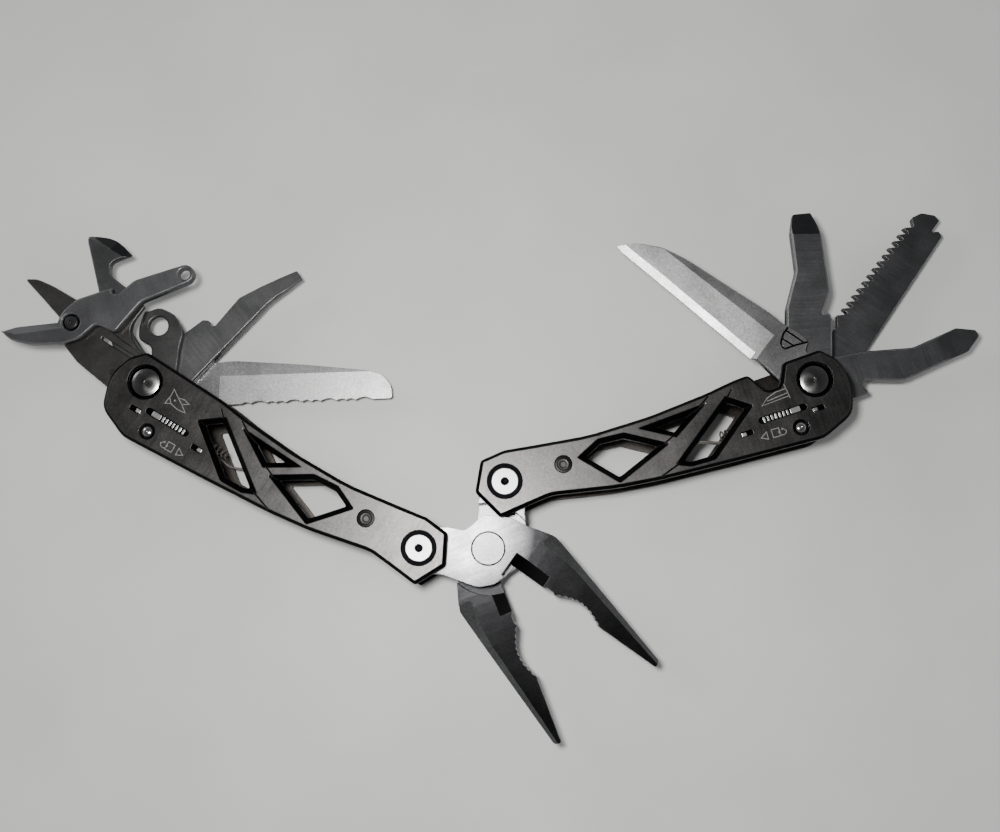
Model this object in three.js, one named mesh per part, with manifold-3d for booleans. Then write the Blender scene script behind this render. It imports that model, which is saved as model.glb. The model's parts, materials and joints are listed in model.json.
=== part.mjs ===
// A folding multi tool lying open: needle nose pliers between two channel handles, with eight
// tools and a lanyard loop fanned out of the handle ends. Millimetres, +Z up.
// The origin is in the plane the tool lies on, below the middle of the open tool.
import * as THREE from "three";
import { mergeVertices } from "three/addons/utils/BufferGeometryUtils.js";
import Module from "manifold-3d";

const wasm = await Module();
wasm.setup();

// Driving dimensions.
const THICK = 18; // over both plates of a handle
const PLATE = 2.4; // one handle plate
const MID = THICK / 2;
const RIVET_FROM_MIDDLE = [1.0, 19.3]; // the middle of the open tool, seen from the rivet axis
const TANG_ARM = 16; // rivet axis to the pliers end pivot of a handle
const HANDLE_SPAN = 76.4; // pliers end pivot to tool pivot
const PLATE_CHAMFER = 0.8;
const WINDOW_RIM = { wide: 1.3, deep: 1.2, inside: 0.5 }; // inside: of the windows as drawn
const TOOL_CHAMFER = 0.3;
const PIVOT_BORE = 3.05; // hole of every tool round its pivot barrel
const TANG_RADIUS = 5.2; // rounded end of every tool

// Angles in the lying plane, in degrees.
const JAW_TO_TANG = -144.7; // from a jaw's inner face to its tang
const LEFT_TANG = 180;
const RIGHT_TANG = 75.6;
const LEFT_HANDLE = 149;
const RIGHT_HANDLE = 18.1;
const TOOL_ANGLE = {
  scissors: 142.1,
  canOpener: 113,
  lanyard: 88.8,
  bottleOpener: 38.8,
  serrated: -1.4,
  knife: 143.7,
  flatDriver: 90.4,
  phillips: 17.3,
  saw: 54.2,
};

// Heights of the layers, bottom and top.
const LAYER = {
  jaw: [3.4, 14.6],
  serrated: [2.7, 4.8],
  bottleOpener: [5.0, 7.2],
  lanyard: [7.4, 9.1],
  canOpener: [9.3, 11.3],
  scissorsBase: [11.5, 12.9],
  scissorsLever: [13.1, 15.3],
  saw: [2.7, 4.8],
  phillips: [5.4, 9.0],
  flatDriver: [9.5, 12.5],
  knife: [13.2, 15.3],
};

const rad = THREE.MathUtils.degToRad;

// --- Outlines -------------------------------------------------------------------------------
// An outline is a list of corners [x, y, radius of the arc that rounds it, none if left out].

const CHORD_GAP = 0.045; // between an arc and the straight pieces that stand for it

const arcStep = (radius) =>
  THREE.MathUtils.clamp(2 * Math.acos(Math.max(0, 1 - CHORD_GAP / radius)), rad(9), rad(45));

// The points along an outline, with an arc at each rounded corner.
function traced(corners) {
  const count = corners.length;
  return corners.flatMap(([x, y, r = 0, drawn = r], i) => {
    if (r === 0) return [new THREE.Vector2(x, y)];
    const [px, py] = corners[(i + count - 1) % count];
    const [nx, ny] = corners[(i + 1) % count];
    const corner = new THREE.Vector2(x, y);
    const back = new THREE.Vector2(px - x, py - y);
    const ahead = new THREE.Vector2(nx - x, ny - y);
    const room = 0.48 * Math.min(back.length(), ahead.length());
    back.normalize();
    ahead.normalize();
    const half = Math.acos(THREE.MathUtils.clamp(back.dot(ahead), -1, 1)) / 2;
    const reach = Math.min(r / Math.tan(half), room);
    const radius = reach * Math.tan(half);
    const turn = Math.PI - 2 * half;
    const side = Math.sign(back.cross(ahead));
    const centre = corner
      .clone()
      .addScaledVector(back.clone().add(ahead).normalize(), radius / Math.sin(half));
    const start = corner.clone().addScaledVector(back, reach).sub(centre);
    const pieces = Math.max(1, Math.ceil(turn / arcStep(drawn) - 1e-3));
    return Array.from({ length: pieces + 1 }, (_, k) =>
      start.clone().rotateAround(new THREE.Vector2(), (-side * turn * k) / pieces).add(centre),
    );
  });
}

// The outline moved by a distance into the material, which is on its left. The radius as drawn
// goes along, so that every level of a chamfer has the same number of points.
function inset(corners, distance) {
  return corners.map(([x, y, r = 0], i) => {
    const [px, py] = corners[(i + corners.length - 1) % corners.length];
    const [nx, ny] = corners[(i + 1) % corners.length];
    const first = new THREE.Vector2(py - y, x - px).normalize();
    const second = new THREE.Vector2(y - ny, nx - x).normalize();
    const convex = first.cross(second) > 0;
    const shift = first.clone().add(second).multiplyScalar(distance / (1 + first.dot(second)));
    const radius = r === 0 ? 0 : Math.max(convex ? r - distance : r + distance, 0.02);
    return [x + shift.x, y + shift.y, radius, r];
  });
}

// The outline turned the asked way round, so that its material is on the left.
function wound(corners, anticlockwise) {
  const area = THREE.ShapeUtils.area(corners.map(([x, y]) => new THREE.Vector2(x, y)));
  return area > 0 === anticlockwise ? corners : [...corners].reverse();
}

// Corners on an arc about (cx, cy), angles in degrees.
function arc(cx, cy, radius, from, to, pieces) {
  return Array.from({ length: pieces + 1 }, (_, k) => {
    const angle = rad(from + ((to - from) * k) / pieces);
    return [cx + radius * Math.cos(angle), cy + radius * Math.sin(angle)];
  });
}

function circle(cx, cy, radius, pieces = 18) {
  return arc(cx, cy, radius, 0, 360 - 360 / pieces, pieces - 1);
}

// A slot with round ends from a to b.
function slot([ax, ay], [bx, by], width) {
  const angle = THREE.MathUtils.radToDeg(Math.atan2(by - ay, bx - ax));
  return [
    ...arc(bx, by, width / 2, angle - 90, angle + 90, 4),
    ...arc(ax, ay, width / 2, angle + 90, angle + 270, 4),
  ];
}

function rectangle(cx, cy, width, height, radius = 0) {
  const w = width / 2;
  const h = height / 2;
  const corners = [[-w, -h], [w, -h], [w, h], [-w, h]];
  return corners.map(([x, y]) => [cx + x, cy + y, radius]);
}

// --- Bodies ---------------------------------------------------------------------------------

// A flat piece with its rim chamfered at the top and at the bottom.
function slab(outline, holes, [low, high], chamferTop = 0, chamferBottom = 0) {
  const loops = [wound(outline, true), ...holes.map((hole) => wound(hole, false))];
  const levels = [{ z: low, inset: chamferBottom }];
  if (chamferBottom > 0) levels.push({ z: low + chamferBottom, inset: 0 });
  if (chamferTop > 0) levels.push({ z: high - chamferTop, inset: 0 });
  levels.push({ z: high, inset: chamferTop });
  const rings = levels.map((level) => loops.map((loop) => traced(inset(loop, level.inset))));
  const perLevel = rings[0].flat().length;
  const position = rings.flatMap((ring, k) => ring.flat().flatMap((p) => [p.x, p.y, levels[k].z]));
  const index = [];
  for (let k = 0; k + 1 < levels.length; k++) {
    let start = k * perLevel;
    rings[k].forEach((loop) => {
      for (let i = 0; i < loop.length; i++) {
        const a = start + i;
        const b = start + ((i + 1) % loop.length);
        index.push(a, b, b + perLevel, a, b + perLevel, a + perLevel);
      }
      start += loop.length;
    });
  }
  [0, levels.length - 1].forEach((k) => {
    const flat = rings[k].flat();
    const [contour, ...gaps] = rings[k].map((loop) => [...loop]);
    const faces = THREE.ShapeUtils.triangulateShape(contour, gaps);
    const area = faces.reduce((sum, face) => sum + THREE.ShapeUtils.area(face.map((i) => flat[i])), 0);
    faces.forEach(([a, b, c]) => {
      const corners = area > 0 === k > 0 ? [a, b, c] : [a, c, b];
      index.push(...corners.map((i) => i + k * perLevel));
    });
  });
  return meshOf(position, index);
}

function meshOf(position, index) {
  const geometry = new THREE.BufferGeometry();
  geometry.setAttribute("position", new THREE.Float32BufferAttribute(position, 3));
  geometry.setIndex(index);
  return geometry;
}

// A body through matching cross sections, each a list of [x, y, z] corners.
function loft(sections) {
  const corners = sections[0].length;
  const index = [];
  for (let k = 0; k + 1 < sections.length; k++) {
    for (let i = 0; i < corners; i++) {
      const a = k * corners + i;
      const b = k * corners + ((i + 1) % corners);
      index.push(a, b, b + corners, a, b + corners, a + corners);
    }
  }
  const last = (sections.length - 1) * corners;
  for (let i = 1; i + 1 < corners; i++) {
    index.push(0, i + 1, i, last, last + i, last + i + 1);
  }
  return meshOf(sections.flat(2), index);
}

// A turned piece about a vertical axis through (x, y): a closed profile of [radius, z] points.
function turned(x, y, profile, pieces = 24) {
  const points = profile.map(([r, z]) => new THREE.Vector2(r, z));
  const geometry = new THREE.LatheGeometry(points, pieces);
  geometry.rotateX(Math.PI / 2);
  return geometry.translate(x, y, 0);
}

function solid(geometry) {
  const bare = geometry.clone();
  bare.deleteAttribute("normal");
  bare.deleteAttribute("uv");
  const merged = mergeVertices(bare, 1e-4);
  const corners = new Uint32Array(merged.index.array);
  const make = (triVerts) =>
    new wasm.Manifold(
      new wasm.Mesh({ numProp: 3, vertProperties: merged.attributes.position.array, triVerts }),
    );
  const made = make(corners);
  return made.volume() < 0 ? make(corners.reverse()) : made;
}

function surface(body) {
  const mesh = body.getMesh();
  return meshOf(Array.from(mesh.vertProperties), Array.from(mesh.triVerts));
}

const cut = (base, ...others) =>
  surface(others.reduce((body, other) => body.subtract(solid(other)), solid(base)));
const join = (base, ...others) =>
  surface(others.reduce((body, other) => body.add(solid(other)), solid(base)));

// A box between two corners.
function block([x0, y0, z0], [x1, y1, z1]) {
  return new THREE.BoxGeometry(x1 - x0, y1 - y0, z1 - z0).translate(
    (x0 + x1) / 2,
    (y0 + y1) / 2,
    (z0 + z1) / 2,
  );
}

// Cuts that thin a piece on both faces from a line on its face to a line outside its edge.
// Each station is [x of the face line, y of it, x of the edge line, y of it].
function grinds(stations, [low, high], edgeThickness) {
  const middle = (low + high) / 2;
  return [1, -1].map((side) => {
    const face = side > 0 ? high : low;
    const clear = face + side;
    const edge = middle + (side * edgeThickness) / 2;
    return loft(
      stations.map(([fx, fy, ex, ey]) => [
        [fx, fy, face],
        [fx, fy, clear],
        [2 * ex - fx, 2 * ey - fy, clear],
        [2 * ex - fx, 2 * ey - fy, 2 * edge - face],
      ]),
    );
  });
}

// --- Materials and assembly -------------------------------------------------------------------

const metal = (color, roughness, metalness = 0.9) => ({ color, roughness, metalness });
const FINISH = {
  plate: metal(0x3a393a, 0.5),
  tool: metal(0x4b4b4e, 0.45),
  blade: metal(0x9a9b9d, 0.35),
  saw: metal(0x3a3a3d, 0.5),
  jaw: metal(0x6d6d70, 0.45),
  bright: metal(0xc4c4c6, 0.25),
  black: metal(0x141415, 0.5),
  spring: metal(0xa8a29a, 0.35),
};

function piece(name, geometry, finish) {
  const flat = geometry.index ? geometry.toNonIndexed() : geometry;
  flat.computeVertexNormals();
  const mesh = new THREE.Mesh(flat, new THREE.MeshStandardMaterial(FINISH[finish]));
  mesh.name = name;
  return mesh;
}

// --- Handles --------------------------------------------------------------------------------
// Handle frame: origin at the pliers end pivot, x to the tool pivot, y to the side that faces
// the jaws when the tool is folded. The upper plate is plain, the lower plate has the thumb cut.

const SCREW_AT = [14.2, 0.5];
const PIN_AT = [69.5, 9.7];

const PLIERS_END = [
  [-3.9, -6.4, 1],
  [-7.4, 0.3, 1.2],
  [-3.6, 7.7, 0.7],
  [3.5, 7.0, 8],
  [9.4, 6.5, 8],
];
const JAW_SIDE = [
  [24.3, 9.7, 30],
  [34.4, 11.0, 40],
  [53.4, 12.4, 60],
];
const TOOL_END = [
  [74.0, 13.7, 6],
  [82.2, 10.4, 5],
  [85.0, 2.6, 9],
  [83.0, -3.2, 4],
  [80.0, -6.3, 1.2],
];
const BACK_SIDE = [
  [58, -5.7, 20],
  [51, -4.8, 20],
  [37, -3.9, 30],
  [22, -4.1, 30],
  [10, -5.8, 12],
  [2.0, -7.0, 3],
];
const THUMB_CUT = [
  [70.9, -6.1, 1.2],
  [68.2, -0.9, 1.7],
  [65.0, -0.9, 1.7],
  [62.0, -5.9, 1.2],
];

const WINDOWS = [
  [[59.6, 1.3, 0.4], [55.2, -2.0, 0.4], [40.3, 8.7, 0.4], [42.6, 9.7, 0.8], [48.0, 9.9, 1.6]],
  [[47.9, -1.9, 0.2], [35.7, -1.4, 0.2], [41.3, 2.0, 0.3]],
  [[37.7, 3.5, 0.3], [29.8, -1.4, 0.8], [23.8, -1.9, 0.8], [18.9, 0.3, 0.3], [25.6, 8.0, 0.6]],
];
const LOCK_SLOT = [[61.4, 5.35], [71.7, 5.35]];
const LOCK_SLOT_WIDTH = 1.7;
const LOCK_WINDOWS = [[57.1, 7.1], [74.8, 6.7]];
const LOCK_BAR = [[60, 5.4, 0.6], [71.6, 5.4, 1.1], [71.6, 7.7, 1.1], [60, 7.7, 0.6]];
const LOCK_POCKET = [[55.3, 6.2], [58.2, 4.3], [78.0, 4.3], [78.0, 7.95], [55.3, 7.95]];

// The level at a depth below the outer face of the upper (+1) or the lower (-1) plate.
const depth = (side, d) => (side > 0 ? THICK - d : d);
const between = (side, d0, d1) => [depth(side, d0), depth(side, d1)].sort((a, b) => a - b);

// A window of the lattice: a hole with sharp corners and a wide sloping rim.
function windowCuts(side, corners) {
  const grown = (distance) =>
    inset(wound(corners, true), -distance).map(([x, y, , drawn]) => [x, y, drawn]);
  const ring = (distance, z) => traced(grown(distance)).map((p) => [p.x, p.y, z]);
  const { wide, deep, inside } = WINDOW_RIM;
  const above = 0.3;
  const rim = loft([
    ring(-inside, depth(side, deep)),
    ring(wide * (1 + above / deep) - inside, depth(side, -above)),
  ]);
  return [slab(grown(-inside), [], between(side, -1, PLATE + 1)), rim];
}

function plate(side, back) {
  const outline = [...PLIERS_END, ...JAW_SIDE, ...TOOL_END, ...back];
  const holes = [
    circle(0, 0, 2.7),
    circle(HANDLE_SPAN, 0, PIVOT_BORE),
    circle(...PIN_AT, 1.45),
    circle(...SCREW_AT, 1.3),
    slot(...LOCK_SLOT, LOCK_SLOT_WIDTH),
    ...LOCK_WINDOWS.map(([x, y]) => rectangle(x, y, 2.9, 1.35, 0.3)),
  ];
  const chamfers = side > 0 ? [PLATE_CHAMFER, 0] : [0, PLATE_CHAMFER];
  const body = slab(outline, [], between(side, 0, PLATE), ...chamfers);
  const bores = holes.map((hole) => slab(hole, [], between(side, -1, PLATE + 1)));
  const recess = (x, y, r, d) => slab(circle(x, y, r, 24), [], between(side, -1, d));
  // Fine grooves run on from the edges of the cross bar over the rails of the lattice.
  const groove = (from, to) => slab(slot(from, to, 0.35), [], between(side, -1, 0.3));
  return cut(
    body,
    ...WINDOWS.flatMap((corners) => windowCuts(side, corners)),
    ...bores,
    recess(0, 0, 4.2, 1.3),
    recess(HANDLE_SPAN, 0, 4.35, 1.2),
    recess(...PIN_AT, 2.0, 0.8),
    recess(...SCREW_AT, 2.1, 1.1),
    slab(LOCK_POCKET, [], between(side, PLATE - 0.9, PLATE + 1)),
    groove([55.2, -2.0], [57.2, -3.9]),
    groove([40.3, 8.7], [35.0, 10.4]),
    groove([47.9, -1.9], [51.4, -4.0]),
    groove([41.3, 2.0], [37.7, 3.5]),
  );
}

// A screw head in a recess, with a hexagon socket: from depth d0 (face) to d1 (seat).
function pivotHead(side, x, y, radius, dome, d0, d1, socket) {
  const z = (d) => depth(side, d);
  const profile = [
    [0, z(d1)],
    [radius, z(d1)],
    [radius, z(d0 + dome)],
    [radius * 0.82, z(d0 + dome * 0.3)],
    [radius * 0.5, z(d0)],
    [0, z(d0)],
  ];
  const head = turned(x, y, profile);
  return cut(head, slab(circle(x, y, socket, 6), [], between(side, d0 - 1, d0 + 0.7)));
}

// A pivot in two halves: a screw whose shank runs inside the barrel of its nut.
function pivotPair(prefix, x, y, spec) {
  const shank = turned(x, y, [
    [0, MID - 3],
    [spec.shank, MID - 3],
    [spec.shank, THICK - spec.seat + 0.2],
    [0, THICK - spec.seat + 0.2],
  ]);
  const barrel = turned(x, y, [
    [spec.shank + 0.3, spec.seat - 0.2],
    [spec.barrel, spec.seat - 0.2],
    [spec.barrel, THICK - spec.seat - 0.3],
    [spec.shank + 0.3, THICK - spec.seat - 0.3],
    [spec.shank + 0.3, spec.seat - 0.2],
  ]);
  const head = (side) =>
    pivotHead(side, x, y, spec.head, spec.dome, spec.face, spec.seat, spec.socket);
  return [
    piece(`${prefix}_screw`, join(head(1), shank), "bright"),
    piece(`${prefix}_nut`, join(head(-1), barrel), "bright"),
  ];
}

const PLIERS_PIVOT = {
  head: 3.2,
  dome: 0.2,
  face: 0.25,
  seat: 1.2,
  socket: 1.15,
  shank: 1.6,
  barrel: 2.4,
};
const TOOL_PIVOT = {
  head: 3.9,
  dome: 0.7,
  face: 0.1,
  seat: 1.1,
  socket: 0.8,
  shank: 1.9,
  barrel: 2.75,
};

// The ribbed thumb piece of the lock, held in the pocket of one plate.
function lockPad(side) {
  const base = [[55.6, 6.45], [58.4, 4.5], [76.3, 4.5], [76.3, 7.75], [55.6, 7.75]];
  const flat = slab(base, [], between(side, PLATE - 0.75, PLATE - 0.1));
  const padDepth = between(side, 0.5, PLATE - 0.4);
  const stem = slab(rectangle(66.05, 5.35, 9.6, 1.3, 0.2), [], padDepth);
  const ribs = Array.from({ length: 7 }, (_, i) =>
    slab(rectangle(62.0 + i * 0.95, 5.35, 0.5, 1.3), [], between(side, 0.1, 0.9)),
  );
  const smooth = slab(rectangle(69.6, 5.35, 2.4, 1.3, 0.2), [], between(side, 0.15, 0.9));
  const tabs = LOCK_WINDOWS.map(([x, y]) =>
    slab(rectangle(x - 0.6, y, 1.2, 0.9), [], between(side, 0.7, PLATE - 0.4)),
  );
  return join(flat, stem, ...ribs, smooth, ...tabs);
}

// A round wire wound about an axis along x.
function coilSpring([x0, y0, z0], length, radius, wire, turns) {
  const perTurn = 8;
  const sides = 4;
  const sections = Array.from({ length: turns * perTurn + 1 }, (_, k) => {
    const around = (2 * Math.PI * k) / perTurn;
    const x = x0 + (length * k) / (turns * perTurn);
    return Array.from({ length: sides }, (_, i) => {
      const a = (2 * Math.PI * i) / sides;
      const out = radius + wire * Math.cos(a);
      return [x + wire * Math.sin(a), y0 + out * Math.cos(around), z0 + out * Math.sin(around)];
    });
  });
  return surface(solid(loft(sections)));
}

// A leaf spring: a bent strip on edge, with a low arm that the jaws pass over.
function leafSpring() {
  const path = [[44.9, 5.7], [46.8, 5.3], [51.2, 7.0], [54.8, 6.6], [58.8, 6.7]];
  const thickness = 0.5;
  const line = new THREE.CatmullRomCurve3(path.map(([x, y]) => new THREE.Vector3(x, y, 0)));
  const points = line.getPoints(12).map((p) => new THREE.Vector2(p.x, p.y));
  const offset = (k, side) => {
    const a = points[Math.max(0, k - 1)];
    const b = points[Math.min(points.length - 1, k + 1)];
    const normal = new THREE.Vector2(a.y - b.y, b.x - a.x).normalize();
    return points[k].clone().addScaledVector(normal, (side * thickness) / 2).toArray();
  };
  const there = points.map((_, k) => offset(k, -1));
  const back = points.map((_, k) => offset(k, 1)).reverse();
  const strip = slab([...there, ...back], [], [2.8, 11.2]);
  return cut(strip, block([40, 0, 5.4], [56.4, 12, THICK]));
}

function midScrew(side) {
  const [x, y] = SCREW_AT;
  const z = (d) => depth(side, d);
  const body = turned(x, y, [
    [0, z(PLATE + 0.5)],
    [1.15, z(PLATE + 0.5)],
    [1.15, z(1.0)],
    [1.95, z(1.0)],
    [1.95, z(0.35)],
    [1.6, z(0.1)],
    [0, z(0.1)],
  ]);
  const ring = slab(circle(x, y, 1.3), [circle(x, y, 0.9)], between(side, -1, 0.3));
  return cut(body, ring, slab(circle(x, y, 0.65, 6), [], between(side, -1, 0.6)));
}

function lockPin() {
  const [x, y] = PIN_AT;
  const half = [
    [1.3, MID],
    [1.3, THICK - 0.5],
    [1.05, THICK - 0.15],
    [0.5, THICK - 0.1],
  ];
  const mirrored = half.map(([r, z]) => [r, THICK - z]).reverse();
  const profile = [[0, 0.1], ...mirrored, ...half.slice(1), [0, THICK - 0.1]];
  return turned(x, y, profile);
}

function handle(side) {
  const group = new THREE.Group();
  const plainBack = BACK_SIDE;
  const cutBack = [...THUMB_CUT, ...BACK_SIDE];
  const flipped = side === "right";
  const upperName = flipped ? "bottom" : "top";
  const lowerName = flipped ? "top" : "bottom";
  group.add(
    piece(`${side}_plate_${upperName}`, plate(1, plainBack), "plate"),
    piece(`${side}_plate_${lowerName}`, plate(-1, cutBack), "plate"),
    ...pivotPair(`${side}_pliers_pivot`, 0, 0, PLIERS_PIVOT),
    ...pivotPair(`${side}_tool_pivot`, HANDLE_SPAN, 0, TOOL_PIVOT),
    piece(`${side}_mid_screw_${upperName}`, midScrew(1), "black"),
    piece(`${side}_mid_screw_${lowerName}`, midScrew(-1), "black"),
    piece(`${side}_lock_pin`, lockPin(), "bright"),
    piece(`${side}_lock_slide_${upperName}`, lockPad(1), "bright"),
    piece(`${side}_lock_slide_${lowerName}`, lockPad(-1), "bright"),
    piece(`${side}_lock_bar`, slab(LOCK_BAR, [], [5.2, 11.2]), "tool"),
    piece(`${side}_lock_spring`, coilSpring([52.4, 5.0, 8.6], 6.8, 0.85, 0.2, 6), "spring"),
    piece(`${side}_leaf_spring`, leafSpring(), "spring"),
  );
  // The right handle is the same handle turned over about its length.
  if (flipped) {
    group.rotation.x = Math.PI;
    group.position.z = THICK;
  }
  return group;
}

// --- Pliers ---------------------------------------------------------------------------------
// Jaw frame: origin on the rivet axis, x to the tip along the closing face, y to the outer side.

const LAP_RADIUS = 10.8;
const RIVET_RADIUS = 3.9;
const JAW_TIP = 47.6;
const JAW_FACE = 0.12; // half of the gap between the closed jaws

// A point given along the tang and across it, to the side that faces the other tang.
function onTang(along, across) {
  const t = rad(JAW_TO_TANG);
  return [
    along * Math.cos(t) + across * Math.sin(t),
    along * Math.sin(t) - across * Math.cos(t),
  ];
}

// The height of a jaw's upper (+1) or lower (-1) face, which tapers to the tip.
const TAPER_START = 9;
const TAPER_PIECES = 16;
const TAPER_POWER = 1.35;
const TIP_HALF_HEIGHT = 2.1;
function jawFace(side, x) {
  const half = (LAYER.jaw[1] - LAYER.jaw[0]) / 2;
  const t = Math.max(0, (x - TAPER_START) / (JAW_TIP + 1 - TAPER_START));
  return MID + side * (half - (half - TIP_HALF_HEIGHT) * t ** TAPER_POWER);
}

// The unit vector across a line from a to b, on the outer side of the jaw.
const FACET_SLOPE = 0.55;
function outward([ax, ay], [bx, by]) {
  return new THREE.Vector2(ay - by, bx - ax).normalize();
}

// The pipe grip is a shallow arc with round teeth.
function pipeGrip() {
  const from = 19;
  const to = 31.3;
  const teeth = 9;
  const perTooth = 4;
  return Array.from({ length: teeth * perTooth + 1 }, (_, k) => {
    const t = k / (teeth * perTooth);
    const bow = 1.9 * Math.sin(Math.PI * t);
    const tooth = 0.36 * Math.abs(Math.sin(Math.PI * teeth * t));
    return [from + (to - from) * t, JAW_FACE + bow + tooth];
  });
}

function jaw() {
  const [low, high] = LAYER.jaw;
  const outline = [
    [7.2, JAW_FACE, 0],
    [15.9, JAW_FACE, 0.1],
    [16.3, 0.5, 0.2],
    [18.2, 0.5, 0.2],
    ...pipeGrip(),
    [JAW_TIP, JAW_FACE, 0.4],
    [JAW_TIP - 0.2, 1.8, 0.8],
    [11.3, 11.5, 2.5],
    [8.0, 10.6, 6],
    [4.6, 9.6, 3],
    [0.5, 9.1, 6],
    onTang(1.0, 7.9).concat(1),
    onTang(5.4, 4.3).concat(1.4),
    onTang(9.6, 5.0).concat(3),
    onTang(TANG_ARM + 3.6, 5.0).concat(4),
    onTang(TANG_ARM + 5.0, 0).concat(4),
    onTang(TANG_ARM + 3.6, -5.4).concat(4),
    onTang(11, -5.9).concat(4),
    onTang(6.4, -7.6).concat(3),
    onTang(2.4, -9.0).concat(4),
    onTang(-1.4, -8.4).concat(4),
    onTang(-4.2, -6.2).concat(2),
  ];
  const pivot = onTang(TANG_ARM, 0);
  const holes = [circle(0, 0, RIVET_RADIUS + 0.1, 32), circle(...pivot, 2.6)];
  const body = slab(outline, holes, [low, high]);
  const lap = slab(circle(0, 0, LAP_RADIUS, 48), [], [low - 1, MID + 0.1]);
  const taper = [1, -1].map((side) => {
    const run = Array.from({ length: TAPER_PIECES + 1 }, (_, k) => {
      const x = TAPER_START + ((JAW_TIP + 1 - TAPER_START) * k) / TAPER_PIECES;
      return [x, jawFace(side, x)];
    });
    const clear = MID + side * 9;
    const section = [...run, [JAW_TIP + 1, clear], [TAPER_START, clear]];
    return loft([-4, 16].map((y) => section.map(([x, z]) => [x, y, z])));
  });
  // The wire cutter: two bevels that leave a cutting edge at mid height.
  const cutter = [1, -1].map((side) => {
    const face = MID + (side * (high - low)) / 2;
    return loft(
      [6.0, 15.6].map((x) => [
        [x, 3.1, face + side],
        [x, 3.1, face],
        [x, JAW_FACE, MID + side * 0.35],
        [x, -3.2, MID + side * 0.35],
        [x, -3.2, face + side],
      ]),
    );
  });
  // The sloping facet along the outer edge starts with a step.
  const facetLine = [[9.8, 8.2], [16.7, 7.9], [21.1, 7.2], [31.0, 4.8], [48.6, 0.7]];
  const facetWidth = 5;
  const facet = [1, -1].map((side) =>
    loft(
      facetLine.map(([x, y], k) => {
        const before = k > 0 ? outward(facetLine[k - 1], facetLine[k]) : null;
        const after = k + 1 < facetLine.length ? outward(facetLine[k], facetLine[k + 1]) : null;
        const first = before ?? after;
        const second = after ?? before;
        const reach = facetWidth / (1 + first.dot(second));
        const ex = x + (first.x + second.x) * reach;
        const ey = y + (first.y + second.y) * reach;
        const top = jawFace(side, x);
        const clear = MID + side * 8;
        return [
          [x, y, top + side * 0.02],
          [x, y, clear],
          [ex, ey, clear],
          [ex, ey, top - side * facetWidth * FACET_SLOPE],
        ];
      }),
    ),
  );
  return cut(body, lap, ...taper, ...cutter, ...facet);
}

function pliers() {
  const group = new THREE.Group();
  const right = piece("jaw_right", jaw(), "jaw");
  right.rotation.z = rad(LEFT_TANG - JAW_TO_TANG);
  // The left jaw is the same jaw turned over.
  const left = piece("jaw_left", jaw(), "jaw");
  left.rotation.set(Math.PI, 0, rad(RIGHT_TANG + JAW_TO_TANG), "ZYX");
  left.position.z = THICK;
  const [low, high] = LAYER.jaw;
  const rivet = piece(
    "pliers_rivet",
    turned(0, 0, [
      [0, low],
      [RIVET_RADIUS - 0.3, low],
      [RIVET_RADIUS - 0.1, low + 0.25],
      [RIVET_RADIUS - 0.1, high - 0.25],
      [RIVET_RADIUS - 0.3, high],
      [0, high],
    ], 32),
    "bright",
  );
  group.add(right, left, rivet);
  return group;
}

// --- Tools ----------------------------------------------------------------------------------
// Tool frame: origin at the tool pivot, x to the tip. Left tools fold with +y to the back of
// the handle, right tools with -y.

// The rounded end round the pivot, between the tool's two sides at x = 0.
const tangEnd = (from, to) => arc(0, 0, TANG_RADIUS, from, to, 7);
const pivotHole = () => circle(0, 0, PIVOT_BORE);

function tool(name, corners, layer, finish, extra = {}) {
  const { holes = [], cuts = [], chamfer = TOOL_CHAMFER } = extra;
  const body = slab(corners, [pivotHole(), ...holes], layer, chamfer, chamfer);
  const shaped = cuts.length > 0 ? cut(body, ...cuts) : body;
  return piece(name, shaped, finish);
}

// The nail nick: a shallow hollow that runs out over the back of the blade, with a deeper
// groove along its rim and two grooves across it.
function nailNick(high) {
  const outline = [
    [12.2, -9.5],
    [12.2, -5.6, 1.4],
    [11.4, -3.0, 1.4],
    [9.6, -2.2, 1.0],
    [8.0, -4.7, 1.5],
    [6.2, -6.9, 0.3],
    [4.5, -9.5],
  ];
  const hollow = [high - 0.3, high + 1];
  const groove = [high - 0.7, high + 1];
  return [
    slab(outline, [], hollow),
    slab(outline, [inset(wound(outline, true), 0.45)], groove),
    slab(slot([11.9, -6.6], [6.8, -6.7], 0.4), [], groove),
    slab(slot([11.6, -4.5], [8.2, -4.6], 0.4), [], groove),
  ];
}

function knife() {
  const corners = [
    ...tangEnd(80, 270),
    [5.5, -5.0, 1],
    [6.2, -7.6, 0.7],
    [9.2, -7.9, 4],
    [13.0, -7.5, 4],
    [17.9, -7.9, 20],
    [41.3, -7.1, 12],
    [47.5, -6.1, 8],
    [53.0, -3.4, 6],
    [56.7, 0.0, 0.15],
    [54.9, 0.4],
    [35, 2.1],
    [14.9, 3.9],
    [13.6, 3.2, 0.6],
    [8.2, 4.2, 2],
  ];
  // Both grinds are flat, and run on over the back near the tip.
  const grind = grinds([[13.6, -3.9, 13.6, 4.1], [58.5, -6.6, 58.5, 0.1]], LAYER.knife, 0.75);
  // The narrow bevel that sharpens the edge.
  const sharpen = grinds([[14.8, 0.1, 14.8, 3.95], [58.5, -3.5, 58.5, 0.1]], LAYER.knife, 0.1);
  const cuts = [...grind, ...sharpen, ...nailNick(LAYER.knife[1])];
  return tool("knife_blade", corners, LAYER.knife, "blade", { cuts });
}

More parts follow.
